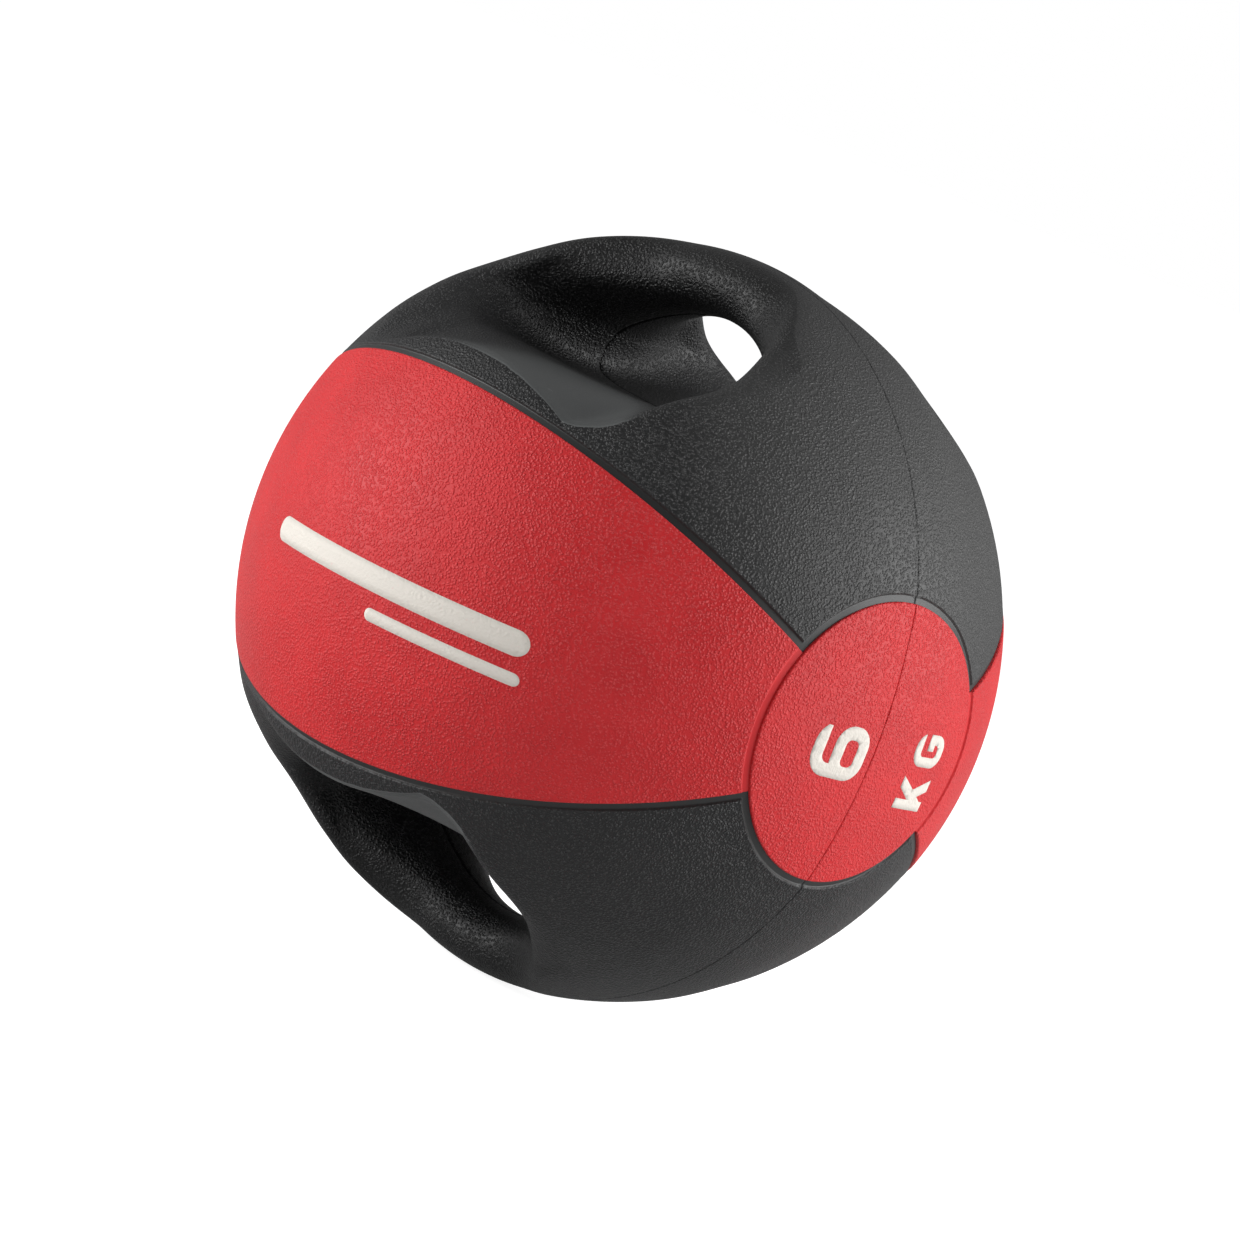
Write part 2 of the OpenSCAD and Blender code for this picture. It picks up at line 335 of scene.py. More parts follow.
def border_row(kind, lon, theta, d):
    """A point of a border column at a distance d inside the cover, as (lon, theta)."""
    mirrored = theta > QUARTER
    theta = math.pi - theta if mirrored else theta
    if kind == "disc":
        ring = BALL_R * math.sin(DISC_HALF)
        lon = lon + (turned((lon - PANEL_HALF) * ring, d) - turned((QUARTER - lon) * ring, d)) / ring
        theta = DISC_HALF + d / BALL_R
    else:
        theta = theta + turned((theta - DISC_HALF) * BALL_R, d) / BALL_R
        step = d / (BALL_R * math.sin(theta))
        lon = PANEL_HALF + step if kind == "panel" else QUARTER - step
    return lon, (math.pi - theta if mirrored else theta)


# ---- black covers: traced along half-planes that turn about the tunnel's middle line -------------

TRACE_STEP = 0.004
TRACE_STEPS = 420
LIP_DEPTH = 0.006
INNER_ROWS = 64
SEAM_ROWS = (0.15, 0.3, 0.5, 0.8)
# How much darker the black rubber is drawn: painted shade deep in a tunnel, and darker at its seam
TUNNEL_SHADE = 0.70
SEAM_SHADE = 0.95
GROOVE_H = 0.9 * MM
# Painted highlight along the lip of a mouth's floor
LIP_HIGHLIGHT = 1.2
SILL_LIGHT = 0.8
CHANNEL_SHADE = 0.45
OUTER_ROWS = 15
OUTER_POWER = 1.35
INNER_POWER = 1.9
INNER_EVEN = 0.2

WALL_TRIES = 160
WALL_STEP = 0.6
SETTLE_TRIES = 3
SETTLE_MOST = 0.01
RADIAL_TRIES = 12
RADIAL_MOST = 0.02
RADIAL_SLOPE = 0.25

LIP_TURNS = 241
LIP_PLACES = 400
LIP_EVEN = 0.33
LIP_FADE = 0.35

WAVES = ((37.0, 0.3), (83.0, 0.5), (151.0, 0.9), (263.0, 0.2))
CHANNEL_LIP_H = 0.10 * MM
CHANNEL_LIP_AT = 0.25 * MM
CHANNEL_LIP_W = 0.35 * MM
GRAIN_FADE = 0.3 * MM
GROOVE_ZONE = (0.1, 0.8)
SEAM_SHADE_ZONE = (0.1, 0.6)
# Forward places over which the painted shade in a tunnel fades out
PAINTED_SHADE_ZONE = (0.16, 0.46)
# Width in rows of the painted highlight along the lip
LIP_HIGHLIGHT_ROWS = 1.6
SILL_ZONE = (0.46, 0.56)
SILL_SIDE = (-0.22, 0.06)
SILL_LOW = (-0.20, -0.34)
SILL_SMOOTH = 0.9


def tunnel_starts(turn):
    """Distance from the tunnel's middle line to its wall in the parting plane, at each angle."""
    out = np.zeros_like(turn)
    along = np.stack([np.cos(turn), np.zeros_like(turn), np.sin(turn)], -1)
    middle = np.array([0.0, 0.0, TUNNEL_MID])
    for _ in range(WALL_TRIES):
        out = out + WALL_STEP * skin_field(middle + along * out[:, None])
    return out


def plane_slope(points, along):
    slope = field_slope(points)
    return np.stack([np.sum(slope * along, -1), -slope[..., 1]], -1)


def trace_to_lip(turn):
    """The skin's section in each half-plane, from the parting plane to the mouth's lip, as a list of
    (out, forward) arrays and each column's index of its lip."""
    along = np.stack([np.cos(turn), np.zeros_like(turn), np.sin(turn)], -1)
    middle = np.array([0.0, 0.0, TUNNEL_MID])
    at = np.stack([tunnel_starts(turn), np.zeros_like(turn)], -1)
    heading = np.tile([0.0, 1.0], (len(turn), 1))
    path = [at]
    lip = np.full(len(turn), -1)

    def lift(flat):
        points = middle + along * flat[:, :1]
        points[:, 1] = -flat[:, 1]
        return points

    for index in range(1, TRACE_STEPS):
        at = at + TRACE_STEP * heading
        for _ in range(SETTLE_TRIES):
            slope = plane_slope(lift(at), along)
            size = np.sum(slope * slope, -1, keepdims=True) + TINY
            off = np.clip(skin_field(lift(at)), -SETTLE_MOST, SETTLE_MOST)
            at = at - off[:, None] * slope / size
        tangent = np.stack([-slope[:, 1], slope[:, 0]], -1) / np.sqrt(size)
        heading = tangent * np.sign(np.sum(tangent * heading, -1, keepdims=True) + 1e-12)
        path.append(at)
        reached = (lip < 0) & (np.linalg.norm(lift(at), axis=-1) > 1.0 - LIP_DEPTH)
        lip[reached] = index
        if (lip >= 0).all():
            break
    return np.array([lift(flat) for flat in path]), lip


def lip_map(border_len):
    """Angle of the half-plane whose lip a border place joins: even near both middles, closer between."""
    turn = np.linspace(-QUARTER, QUARTER, LIP_TURNS)
    path, lip = trace_to_lip(turn)
    lips = path[lip, np.arange(len(turn))]
    length = np.concatenate([[0.0], np.cumsum(np.linalg.norm(np.diff(lips, axis=0), axis=-1))])
    s = np.linspace(0.0, border_len, LIP_PLACES)
    fade = (LIP_EVEN, LIP_EVEN + LIP_FADE)
    rate = 1.0 - smooth_step(*fade, s) * smooth_step(*fade, border_len - s)
    ends = np.mean(rate) * border_len
    middle = np.mean(1.0 - rate) * border_len
    low = (length[-1] - ends) / middle
    rate = rate + low * (1.0 - rate)
    reach = np.concatenate([[0.0], np.cumsum((rate[1:] + rate[:-1]) / 2.0 * np.diff(s))])
    reach = reach * (length[-1] / reach[-1])

    def turn_at(place):
        return np.interp(np.interp(place, s, reach), length, turn)
    return turn_at


def resample(line, count):
    """Points along a line, closer together at its end, with a few more just after its start."""
    length = np.concatenate([[0.0], np.cumsum(np.linalg.norm(np.diff(line, axis=0), axis=-1))])
    u = np.linspace(0.0, 1.0, count - len(SEAM_ROWS))
    places = ((1.0 - (1.0 - u) ** INNER_POWER) * (1.0 - INNER_EVEN) + u * INNER_EVEN) * length[-1]
    places = np.concatenate([places[:1], np.array(SEAM_ROWS) * MM / BALL_R, places[1:]])
    return np.stack([np.interp(places, length, line[:, axis]) for axis in range(3)], -1)


def settle_radially(points):
    """Moves points along their own radius onto the skin."""
    way = points / np.linalg.norm(points, axis=-1, keepdims=True)
    radius = np.ones(points.shape[:-1])
    for _ in range(RADIAL_TRIES):
        at = way * radius[..., None]
        slope = np.maximum(np.sum(field_slope(at) * way, -1), RADIAL_SLOPE)
        radius = radius - np.clip(skin_field(at) / slope, -RADIAL_MOST, RADIAL_MOST)
    return way * np.minimum(radius, 1.0)[..., None]


def wobble(x, seed):
    """Slow irregular wave between -1 and 1."""
    total = sum(np.sin(rate * x + seed * 2.3 + phase * 9.0) for rate, phase in WAVES)
    return total / len(WAVES)


def uneven(x, seed, swing=0.4):
    """Share of a full depth or darkness, which wanders along a seam."""
    return 1.0 - swing + swing * wobble(x, seed)


def to_disc_edge(theta):
    """Distance in metres from the nearer end disc."""
    return (np.minimum(theta, math.pi - theta) - DISC_HALF) * BALL_R


def to_border(lon, theta):
    """Distance in metres from the nearest red piece."""
    return np.minimum((lon - PANEL_HALF) * np.sin(theta) * BALL_R, to_disc_edge(theta))


def channel_depth(d):
    return CHANNEL_H * (1.0 - smooth_step(CHANNEL_W, CHANNEL_W + STEP_W, d))


def channel_grain(d):
    """Channels are smooth, and the grain starts just past them."""
    return smooth_step(CHANNEL_W, CHANNEL_W + STEP_W + GRAIN_FADE, d)


def cover_relief(lon, theta, x):
    """Depth of the cover's surface below the ball in metres, from its channels and its seam."""
    to_seam = (QUARTER - lon) * np.sin(theta) * BALL_R
    d = to_border(lon, theta)
    from_lip = (d - CHANNEL_W - STEP_W - CHANNEL_LIP_AT) / CHANNEL_LIP_W
    lip = CHANNEL_LIP_H * np.exp(-from_lip ** 2)
    slit = SEAM_H * uneven(x * 2.0, 3.0, 0.45) * (1.0 - smooth_step(0.0, SEAM_W, to_seam))
    return channel_depth(d) - lip + slit


def cover_points(soft_side):
    """Rows of the top front cover's outer surface in ball radii, with each point's grain and shade.
    The lip is laid out on the plain rim, so that both kinds of mouth have the same columns."""
    SHAPE["soft_side"] = 0.0
    right, left = cover_border()
    border = right + left
    border_len = right[-1][3] / BALL_R
    turn_at = lip_map(border_len)
    right_turn = [turn_at(s / BALL_R) for *_, s in right]
    left_turn = [math.pi - turn_at(s / BALL_R) for *_, s in left]
    turn = np.array(right_turn + left_turn)
    SHAPE["soft_side"] = soft_side
    path, lip = trace_to_lip(turn)
    columns = range(len(turn))
    inner = np.stack([resample(path[: lip[c] + 1, c], INNER_ROWS) for c in columns], 1)
    inner[0, :, 1] = 0.0
    inner = seam_groove(inner, turn)
    rows_out = BORDER_ROWS[::-1]
    zone = np.array([[border_row(*place[:3], d) for place in border] for d in rows_out])
    zone_points = on_sphere(zone[..., 0], zone[..., 1])
    start = inner[-1] / np.linalg.norm(inner[-1], axis=-1, keepdims=True)
    share = np.linspace(0.0, 1.0, OUTER_ROWS + 1)[1:-1] ** OUTER_POWER
    middle = start + (zone_points[0] - start) * share[:, None, None]
    outer = settle_radially(np.concatenate([middle, zone_points]))
    way = outer / np.linalg.norm(outer, axis=-1, keepdims=True)
    theta = np.arccos(np.clip(way[..., 0], -1.0, 1.0))
    lon = np.arctan2(way[..., 2], -way[..., 1])
    relief = cover_relief(lon, theta, way[..., 0])
    outer = outer - way * (relief / BALL_R)[..., None]
    outer[-1, [kind == "seam" for kind, *_ in border], 1] = 0.0
    rows = np.concatenate([inner, outer])
    grain = np.concatenate([inner_grain(inner, turn), outer_grain(lon, theta)])
    shade = np.concatenate([inner_shade(inner, turn), outer_shade(lon, theta)])
    return rows, grain, shade


def seam_groove(inner, turn):
    """Pulls the rows next to the parting plane into the rubber, as an uneven groove."""
    slope = field_slope(inner)
    slope[..., 1] = 0.0
    way = slope / np.linalg.norm(slope, axis=-1, keepdims=True)
    near = 1.0 - smooth_step(*GROOVE_ZONE, -inner[..., 1] * BALL_R / MM)
    near = near * (np.arange(len(inner)) < INNER_ROWS // 2)[:, None]
    depth = GROOVE_H / BALL_R * near * uneven(turn * 0.2, 1.0)
    return inner - way * depth[..., None]


def on_floor(turn):
    """1 for the columns that cross the tunnel's floor, 0 for the others."""
    return smooth_step(*SILL_LOW, np.sin(turn))[None, :]


def sill_share(inner, turn):
    """1 on the sill between a mouth's lip and its ridge, on its right half only."""
    forward = smooth_step(*SILL_ZONE, -inner[..., 1])
    return forward * on_floor(turn) * smooth_step(*SILL_SIDE, inner[..., 0])


def inner_grain(inner, turn):
    """The sill is smooth, and the rest of a tunnel is grained."""
    return 1.0 - SILL_SMOOTH * sill_share(inner, turn)


def inner_shade(inner, turn):
    """How much darker the rubber is drawn: painted shade deep in the tunnel, darker at its seam, and below 0
    on the sill and on the mouth's lip, where a painted highlight lightens it.
    """
    forward = -inner[..., 1]
    sill = sill_share(inner, turn)
    # Painted shade, darkest deep inside the tunnel
    painted_tunnel_shade = TUNNEL_SHADE * (1.0 - smooth_step(*PAINTED_SHADE_ZONE, forward))
    at_seam = 1.0 - smooth_step(*SEAM_SHADE_ZONE, forward * BALL_R / MM)
    seam = SEAM_SHADE * at_seam * uneven(turn, 1.0)
    # Painted highlight along the lip, on the columns that cross the tunnel's floor
    from_lip = np.arange(len(inner))[::-1, None]
    wear_and_highlight = LIP_HIGHLIGHT * np.exp(-(from_lip / LIP_HIGHLIGHT_ROWS) ** 2) * on_floor(turn)
    return np.maximum(painted_tunnel_shade, seam) * (1.0 - sill) - SILL_LIGHT * sill - wear_and_highlight


def outer_shade(lon, theta):
    """Channels are darker than the grained rubber."""
    return CHANNEL_SHADE * (1.0 - outer_grain(lon, theta))


def outer_grain(lon, theta):
    return channel_grain(to_border(lon, theta))


# ---- meshes ---------------------------------------------------------------------------------------

def grid_faces(rows, columns, closed):
    """Quads of a grid whose columns run round a loop where closed is true."""
    wide = columns if closed else columns - 1
    r, c = np.meshgrid(np.arange(rows - 1), np.arange(wide), indexing="ij")
    after = (c + 1) % columns
    a, b = r * columns + c, r * columns + after
    return np.stack([a, b, b + columns, a + columns], -1).reshape(-1, 4)


def open_edges(rows, columns, closed):
    """Loops of grid indices along the open edges."""
    first = list(range(columns))
    last = [(rows - 1) * columns + c for c in range(columns)]
    if closed:
        return [first + first[:1], (last + last[:1])[::-1]]
    right = [r * columns + columns - 1 for r in range(rows)]
    left = [r * columns for r in range(rows)]
    return [first + right[1:] + last[::-1][1:] + left[::-1][1:]]


def finish_mesh(mesh):
    """Merges collapsed points, turns all faces outwards and smooths all but the sharp edges."""
    bm = bmesh.new()
    bm.from_mesh(mesh)
    bmesh.ops.remove_doubles(bm, verts=bm.verts, dist=MERGE)
    bmesh.ops.recalc_face_normals(bm, faces=bm.faces)
    bm.to_mesh(mesh)
    bm.free()
    mesh.shade_smooth()
    mesh.set_sharp_from_angle(angle=SHARP_ANGLE)
    mesh.update()


def add_piece(name, mesh, material, slot, *nodes):
    piece = bpy.data.objects.new(name, mesh)
    bpy.context.scene.collection.objects.link(piece)
    mesh.materials.clear()
    mesh.materials.append(material)
    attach(piece, "root")
    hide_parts(*nodes)
    return piece


def shell_mesh(name, outer, inner, closed, grain, shade=None):
    """Closed mesh from the rows of its outer and its inner surface, joined along their open edges."""
    rows, columns = outer.shape[:2]
    count = rows * columns
    points = np.concatenate([outer.reshape(-1, 3), inner.reshape(-1, 3)])
    quads = grid_faces(rows, columns, closed)
    faces = [quads, quads[:, ::-1] + count]
    for loop in open_edges(rows, columns, closed):
        a, b = np.array(loop[:-1]), np.array(loop[1:])
        faces.append(np.stack([b, a, a + count, b + count], -1))
    mesh = bpy.data.meshes.new(name)
    mesh.from_pydata(points.tolist(), [], np.concatenate(faces).tolist())
    both = np.concatenate([grain.reshape(-1), np.ones(count)]).astype(np.float32)
    mesh.attributes.new("grain", "FLOAT", "POINT").data.foreach_set("value", both)
    if shade is not None:
        both = np.concatenate([shade.reshape(-1), np.zeros(count)]).astype(np.float32)
        mesh.attributes.new("shade", "FLOAT", "POINT").data.foreach_set("value", both)
    finish_mesh(mesh)
    return mesh


def make_covers(covers, soft_side):
    rows, grain, shade = cover_points(soft_side)
    slope = field_slope(rows)
    normal = slope / np.linalg.norm(slope, axis=-1, keepdims=True)
    normal[0, :, 1] = 0.0
    radial = rows / np.linalg.norm(rows, axis=-1, keepdims=True)
    normal[INNER_ROWS:] = radial[INNER_ROWS:]
    normal = normal / np.linalg.norm(normal, axis=-1, keepdims=True)
    inside = rows - normal * (SKIN_T / BALL_R)
    for node, y_sign, z_sign in covers:
        flip = np.array([1.0, y_sign, z_sign]) * BALL_R
        mesh = shell_mesh(node, rows * flip, inside * flip, True, grain, shade)
        add_piece(node + "_skin", mesh, BLACK, "black_rubber", node)


# ---- red panels and discs -------------------------------------------------------------------------

def edge_depth(d):
    """How far a rounded rubber edge drops at a distance d inside it."""
    return np.interp(d, np.array(EDGE_AT) * MM, np.array(EDGE_DROP) * MM)


def edge_places(length, rows, middle_fine=0.0):
    """Places from 0 to length with fixed rows at both ends, and finer places in the middle if asked."""
    ends = np.array(rows) * MM
    inner = length - 2.0 * ends[-1]
    count = int(inner / COARSE)
    between = ends[-1] + inner * np.arange(1, count) / count
    places = [ends, between, length - ends]
    if middle_fine > 0.0:
        places.append(length / 2.0 + np.linspace(-middle_fine, middle_fine, VALVE_COLUMNS))
    return np.unique(np.round(np.concatenate(places), 7))


def panel_points(with_valve):
    """Outer surface of the front panel in metres, and how grained it is."""
    fine = VALVE_ZONE if with_valve else 0.0
    across = edge_places(2.0 * PANEL_HALF * BALL_R, PANEL_EDGE_ROWS, fine) / BALL_R - PANEL_HALF
    along = edge_places((math.pi - 2.0 * DISC_HALF) * BALL_R, CHANNEL_ROWS, fine) / BALL_R + DISC_HALF
    lon, theta = np.meshgrid(across, along, indexing="ij")
    to_edge = (PANEL_HALF - np.abs(lon)) * np.sin(theta) * BALL_R
    to_disc = to_disc_edge(theta)
    depth = np.maximum(edge_depth(to_edge), channel_depth(to_disc))
    if with_valve:
        spot = np.hypot(lon * np.sin(theta), theta - QUARTER) * BALL_R
        depth = depth + valve_dish(spot)
    points = on_sphere(lon, theta) * (BALL_R - depth)[..., None]
    grain = channel_grain(to_disc)
    if with_valve:
        grain = grain * smooth_step(VALVE_RING, VALVE_RING + MM, spot)
    return points, grain


def valve_dish(spot):
    """Shallow dish round the needle hole, with a thin raised ring."""
    dish = VALVE_DEPTH * (1.0 - smooth_step(*VALVE_SLOPE, spot))
    return dish - VALVE_RING_H * np.exp(-((spot - VALVE_RING) / VALVE_RING_W) ** 2)


def make_panels():
    for node, sign in (("front_panel", 1.0), ("rear_panel", -1.0)):
        points, grain = panel_points(with_valve=sign < 0)
        outer = points * np.array([1.0, sign, 1.0])
        way = outer / np.linalg.norm(outer, axis=-1, keepdims=True)
        mesh = shell_mesh(node, outer, way * (BALL_R - SKIN_T), False, grain)
        piece = add_piece(node + "_skin", mesh, RED, "red_rubber", node)
        if sign < 0:
            drill(piece, Vector((0.0, BALL_R, 0.0)), NEEDLE_R)


def drill(piece, at, radius):
    """Cuts a round hole along Y through a piece."""
    bm = bmesh.new()
    turn = Matrix.Translation(at) @ Matrix.Rotation(QUARTER, 4, "X")
    bmesh.ops.create_cone(
        bm, cap_ends=True, segments=DRILL_SIDES, radius1=radius, radius2=radius,
        depth=DRILL_LEN, matrix=turn)
    mesh = bpy.data.meshes.new("drill")
    bm.to_mesh(mesh)
    bm.free()
    tool = bpy.data.objects.new("drill", mesh)
    bpy.context.scene.collection.objects.link(tool)
    cut = piece.modifiers.new("hole", "BOOLEAN")
    cut.object = tool
    cut.solver = "EXACT"
    done = bpy.data.meshes.new_from_object(piece.evaluated_get(bpy.context.evaluated_depsgraph_get()))
    piece.modifiers.clear()
    piece.data = done
    bpy.data.objects.remove(tool)
    done.shade_smooth()
    done.set_sharp_from_angle(angle=SHARP_ANGLE)


def half_disc_columns():
    """Border of a half disc as (kind, place): round its rim, then back along the seam."""
    reach = DISC_HALF * BALL_R
    rim = [("rim", s / reach - QUARTER) for s in spaced(math.pi * reach)[:-1]]
    seam = [("seam", reach - s) for s in spaced(2.0 * reach)[:-1]]
    return rim + seam


def half_disc_point(kind, place, d):
    """Flat point (away from the seam, up) at a distance d inside the border, in metres."""
    reach = DISC_HALF * BALL_R
    if kind == "rim":
        near = (QUARTER - abs(place)) * reach
        lon = place - math.copysign(turned(near, d) / reach, place)
        return (reach - d) * math.cos(lon), (reach - d) * math.sin(lon)
    near = reach - abs(place)
    return d, place - math.copysign(turned(near, d), place)


def half_disc_points(seed):
    """Outer surface of the front half of the right disc in metres."""
    reach = DISC_HALF * BALL_R
    columns = half_disc_columns()
    rows = [[half_disc_point(*column, d * MM) for column in columns] for d in DISC_ROWS]
    border = np.array(rows)
    centre = np.array([DISC_CENTRE * reach, 0.0])
    share = np.linspace(0.0, 1.0, DISC_RINGS + 1)[1:]
    inside = border[-1] + (centre - border[-1]) * share[:, None, None]
    flat = np.concatenate([border, inside])
    away, up = flat[..., 0], flat[..., 1]
    depth = np.maximum(edge_depth(reach - np.hypot(away, up)), SEAM_SHARE * edge_depth(away))
    gap = SEAM_GAP * uneven(up, seed)
    away = away + gap * (1.0 - smooth_step(0.0, SEAM_GAP_ZONE, away))
    theta = np.hypot(away, up) / BALL_R
    return on_sphere(np.arctan2(up, away), theta) * (BALL_R - depth - disc_sink(theta))[..., None]


def disc_sink(theta):
    """An end disc is a little flatter than the ball."""
    return DISC_FLAT * np.maximum(1.0 - (theta / DISC_HALF) ** 2, 0.0)


def make_discs():
    for seed, (node, x_sign, y_sign) in enumerate(DISCS):
        outer = half_disc_points(seed + 1.0) * np.array([x_sign, y_sign, 1.0])
        way = outer / np.linalg.norm(outer, axis=-1, keepdims=True)
        mesh = shell_mesh(node, outer, way * (BALL_R - SKIN_T), True, np.ones(outer.shape[:2]))
        add_piece(node + "_skin", mesh, RED, "red_rubber", node)


# ---- markings -------------------------------------------------------------------------------------

def make_marks():
    """Thin layers of ink just above the red rubber, in the markings' own outlines."""
    for node in MARKS:
        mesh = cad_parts[node].data.copy()
        for vertex in mesh.vertices:
            outside = vertex.co.length > BALL_R - MARK_T
            way = vertex.co.normalized()
            sink = float(disc_sink(math.acos(min(abs(way.x), 1.0))))
            vertex.co = way * (BALL_R - sink + (MARK_LIFT if outside else -MARK_T))
        finish_mesh(mesh)
        add_piece(node + "_ink", mesh, INK, "off_white_marking", node)


# ---- materials ------------------------------------------------------------------------------------

def new_material(name, roughness, colour, specular=0.5):
    material = bpy.data.materials.new(name)
    material.use_nodes = True
    shader = material.node_tree.nodes["Principled BSDF"]
    shader.inputs["Base Color"].default_value = (*colour, 1.0)
    shader.inputs["Roughness"].default_value = roughness
    shader.inputs["Specular IOR Level"].default_value = specular
    return material, shader


def node(material, kind, **values):
    made = material.node_tree.nodes.new(kind)
    for name, value in values.items():
        if name in made.inputs:
            made.inputs[name].default_value = value
        else:
            setattr(made, name, value)
    return made


def join(material, out_socket, in_socket):
    material.node_tree.links.new(out_socket, in_socket)


def maths(material, operation, a, b):
    """A Math node; a and b are sockets or numbers."""
    made = node(material, "ShaderNodeMath", operation=operation)
    for socket, value in zip(made.inputs, (a, b)):
        if isinstance(value, (int, float)):
            socket.default_value = value
        else:
            join(material, value, socket)
    return made.outputs[0]


def ramp(material, fac, low, high, dark, light):
    """Maps fac from low..high to dark..light."""
    made = node(material, "ShaderNodeMapRange")
    join(material, fac, made.inputs["Value"])
    for name, value in (("From Min", low), ("From Max", high), ("To Min", dark), ("To Max", light)):
        made.inputs[name].default_value = value
    return made.outputs[0]


def noise(material, place, size, detail):
    made = node(material, "ShaderNodeTexNoise", Scale=1.0 / size, Detail=detail)
    join(material, place, made.inputs["Vector"])
    return made.outputs["Fac"]


def mix_colour(material, fac, low, high):
    made = node(material, "ShaderNodeMix", data_type="RGBA")
    join(material, fac, made.inputs["Factor"])
    for socket, value in ((made.inputs[6], low), (made.inputs[7], high)):
        if isinstance(value, tuple):
            socket.default_value = (*value, 1.0)
        else:
            join(material, value, socket)
    return made.outputs[2]


def mixed_place(material, place):
    """The place, shifted a little by noise so that the grain's cells are uneven."""
    shift = node(material, "ShaderNodeTexNoise", Scale=1.0 / GRAIN_SIZE, Detail=1.0)
    join(material, place, shift.inputs["Vector"])
    made = node(material, "ShaderNodeVectorMath", operation="MULTIPLY_ADD")
    join(material, shift.outputs["Color"], made.inputs[0])
    made.inputs[1].default_value = (GRAIN_SIZE, GRAIN_SIZE, GRAIN_SIZE)
    join(material, place, made.inputs[2])
    return made.outputs["Vector"]


def grain_bump(material, shader, place, strength):
    """Fine pebble grain, faded where the grain attribute is low; returns the mask of the painted highlight
    on the pebbles' tops, and the grain.
    """
    cells = node(material, "ShaderNodeTexVoronoi", feature="SMOOTH_F1", Scale=1.0 / GRAIN_SIZE)
    cells.inputs["Smoothness"].default_value = GRAIN_SOFT
    join(material, mixed_place(material, place), cells.inputs["Vector"])
    pebble = ramp(material, cells.outputs["Distance"], *PEBBLE_ZONE, 1.0, 0.0)
    grain = node(material, "ShaderNodeAttribute", attribute_name="grain").outputs["Fac"]
    bump = node(material, "ShaderNodeBump", Distance=GRAIN_H)
    join(material, maths(material, "MULTIPLY", grain, strength), bump.inputs["Strength"])
    join(material, pebble, bump.inputs["Height"])
    join(material, bump.outputs["Normal"], shader.inputs["Normal"])
    top = ramp(material, pebble, *PEBBLE_HIGHLIGHT_ZONE, 0.0, 1.0)
    return maths(material, "MULTIPLY", top, grain), grain


def object_place(material):
    return node(material, "ShaderNodeTexCoord").outputs["Object"]


def along_way(material, place, way):
    """How far a place lies along a direction from the ball's centre."""
    made = node(material, "ShaderNodeVectorMath", operation="DOT_PRODUCT")
    join(material, place, made.inputs[0])
    made.inputs[1].default_value = Vector(way).normalized()
    return made.outputs["Value"]


def make_red():
    material, shader = new_material("red rubber", 0.5, RED_COLOUR, 0.32)
    place = object_place(material)
    pebble, _ = grain_bump(material, shader, place, 0.8)
    cloud = noise(material, place, RED_CLOUD, 3.0)
    clouded = ramp(material, cloud, 0.35, 0.65, 0.0, 1.0)
    colour = mix_colour(material, clouded, RED_DARK, RED_COLOUR)
    # Painted highlight: the pebbles' tops are drawn lighter
    colour = mix_colour(material, maths(material, "MULTIPLY", pebble, 0.6), colour, RED_PEBBLE_HIGHLIGHT)
    join(material, colour, shader.inputs["Base Color"])
    join(material, ramp(material, cloud, 0.3, 0.7, 0.46, 0.56), shader.inputs["Roughness"])
    return material


def make_black():
    material, shader = new_material("black rubber", 0.5, BLACK_COLOUR, 0.38)
    place = object_place(material)
    pebble, grain = grain_bump(material, shader, place, 0.9)
    cloud = noise(material, place, BLACK_CLOUD, 4.0)
    clouded = ramp(material, cloud, 0.35, 0.7, 0.0, 1.0)
    colour = mix_colour(material, clouded, BLACK_COLOUR, BLACK_LIGHT)
    colour = mix_colour(material, grain, BLACK_SMOOTH, colour)
    # Painted highlight: the pebbles' tops are drawn lighter
    colour = mix_colour(material, maths(material, "MULTIPLY", pebble, 0.7), colour, BLACK_PEBBLE_HIGHLIGHT)
    # Painted light: the black rubber is drawn paler on the side facing the upper right
    painted_lit_side = ramp(material, along_way(material, place, LIT_SIDE_WAY), 0.70 * BALL_R, BALL_R, 0.0, 0.35)
    colour = mix_colour(material, painted_lit_side, colour, DUST_AND_LIT_SIDE_COLOUR)
    # Dust: pale specks at random
    speck = ramp(material, noise(material, place, SPECK_SIZE, 2.0), 0.70, 0.78, 0.0, 0.30)
    colour = mix_colour(material, speck, colour, DUST_AND_LIT_SIDE_COLOUR)
    # The shade attribute darkens the colour: painted shade deep in the tunnels, darker seams and channels;
    # below 0 it lightens the sills and paints a highlight on the lips
    shade = node(material, "ShaderNodeAttribute", attribute_name="shade").outputs["Fac"]
    scaled = node(material, "ShaderNodeVectorMath", operation="SCALE")
    join(material, colour, scaled.inputs[0])
    join(material, maths(material, "SUBTRACT", 1.0, shade), scaled.inputs["Scale"])
    join(material, scaled.outputs["Vector"], shader.inputs["Base Color"])
    join(material, ramp(material, grain, 0.0, 1.0, 0.42, 0.48), shader.inputs["Roughness"])
    return material


def make_ink():
    material, shader = new_material("off-white ink", 0.6, INK_COLOUR, 0.3)
    place = object_place(material)
    bump = node(material, "ShaderNodeBump", Strength=0.5, Distance=GRAIN_H)
    join(material, noise(material, place, GRAIN_SIZE, 1.0), bump.inputs["Height"])
    join(material, bump.outputs["Normal"], shader.inputs["Normal"])
    wear_and_highlight = ramp(material, noise(material, place, INK_WEAR_SIZE, 3.0), 0.66, 0.80, 0.0, 0.5)
    join(material, mix_colour(material, wear_and_highlight, INK_COLOUR, INK_WORN), shader.inputs["Base Color"])
    return material


